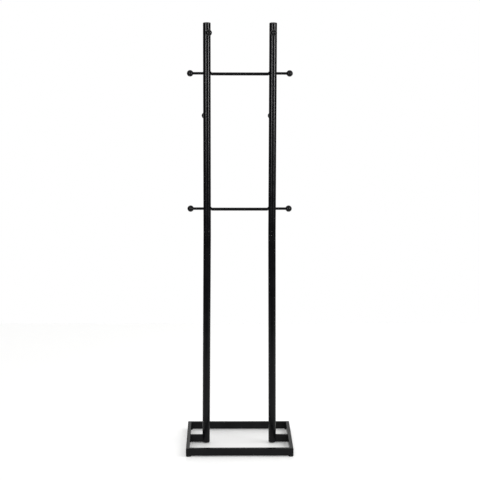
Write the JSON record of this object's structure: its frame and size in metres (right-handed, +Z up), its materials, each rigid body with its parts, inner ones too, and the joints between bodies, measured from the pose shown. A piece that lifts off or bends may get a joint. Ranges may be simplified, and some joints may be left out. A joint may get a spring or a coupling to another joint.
{
  "type": "standing coat rack",
  "caption": "Free-standing coat rack: rectangular tube base, twin round uprights, crossbars and ball-ended pegs at the sides, front and rear.",
  "frame": {"origin": "on the floor under the middle of the rack, midway between the uprights", "axes": "+Z up, front faces -Y, +X to the right seen from the front"},
  "size_m": [0.452, 0.396, 1.8],
  "materials": {
    "powder_coat": "semi-gloss black powder coat with a fine orange peel",
    "ball_plastic": "moulded black plastic, semi-gloss, fine parting line",
    "cap_plastic": "moulded black plastic, satin",
    "foot_rubber": "moulded black rubber-faced glide, matt",
    "zinc_steel": "bright zinc plate, turned and rolled"
  },
  "bodies": {
    "rack": {"front_rail": "powder_coat", "rear_rail": "powder_coat", "left_rail": "powder_coat", "right_rail": "powder_coat", "left_stub": "powder_coat", "left_stub_bolt": "zinc_steel", "left_stub_nut": "zinc_steel", "left_bolt_cover": "cap_plastic", "right_stub": "powder_coat", "right_stub_bolt": "zinc_steel", "right_stub_nut": "zinc_steel", "right_bolt_cover": "cap_plastic", "front_left_foot_insert": "zinc_steel", "front_right_foot_insert": "zinc_steel", "rear_left_foot_insert": "zinc_steel", "rear_right_foot_insert": "zinc_steel", "left_upper_tube": "powder_coat", "left_top_cap": "cap_plastic", "left_lower_tube": "powder_coat", "left_bottom_plug": "cap_plastic", "left_joint_sleeve": "zinc_steel", "left_joint_screw": "powder_coat", "right_upper_tube": "powder_coat", "right_top_cap": "cap_plastic", "right_lower_tube": "powder_coat", "right_bottom_plug": "cap_plastic", "right_joint_sleeve": "zinc_steel", "right_joint_screw": "powder_coat", "upper_crossbar": "powder_coat", "upper_tie_rod": "zinc_steel", "upper_left_washer": "powder_coat", "upper_right_washer": "powder_coat", "lower_crossbar": "powder_coat", "lower_tie_rod": "zinc_steel", "lower_left_washer": "powder_coat", "lower_right_washer": "powder_coat", "upper_left_side_peg": "powder_coat", "upper_left_side_ball": "ball_plastic", "upper_right_side_peg": "powder_coat", "upper_right_side_ball": "ball_plastic", "lower_left_side_peg": "powder_coat", "lower_left_side_ball": "ball_plastic", "lower_right_side_peg": "powder_coat", "lower_right_side_ball": "ball_plastic", "left_front_peg": "powder_coat", "left_front_ball": "ball_plastic", "left_front_rivet_nut": "powder_coat", "left_rear_peg": "powder_coat", "left_rear_ball": "ball_plastic", "left_rear_rivet_nut": "powder_coat", "right_front_peg": "powder_coat", "right_front_ball": "ball_plastic", "right_front_rivet_nut": "powder_coat", "right_rear_peg": "powder_coat", "right_rear_ball": "ball_plastic", "right_rear_rivet_nut": "powder_coat"},
    "front_left_foot_body": {"front_left_foot": "foot_rubber"},
    "front_right_foot_body": {"front_right_foot": "foot_rubber"},
    "rear_left_foot_body": {"rear_left_foot": "foot_rubber"},
    "rear_right_foot_body": {"rear_right_foot": "foot_rubber"}
  },
  "joints": [
    {"name": "front_left_foot_height", "type": "slide", "parent": "rack", "child": "front_left_foot_body", "axis": [0, 0, -1], "range_m": [0, 0.008]},
    {"name": "front_right_foot_height", "type": "slide", "parent": "rack", "child": "front_right_foot_body", "axis": [0, 0, -1], "range_m": [0, 0.008]},
    {"name": "rear_left_foot_height", "type": "slide", "parent": "rack", "child": "rear_left_foot_body", "axis": [0, 0, -1], "range_m": [0, 0.008]},
    {"name": "rear_right_foot_height", "type": "slide", "parent": "rack", "child": "rear_right_foot_body", "axis": [0, 0, -1], "range_m": [0, 0.008]}
  ]
}
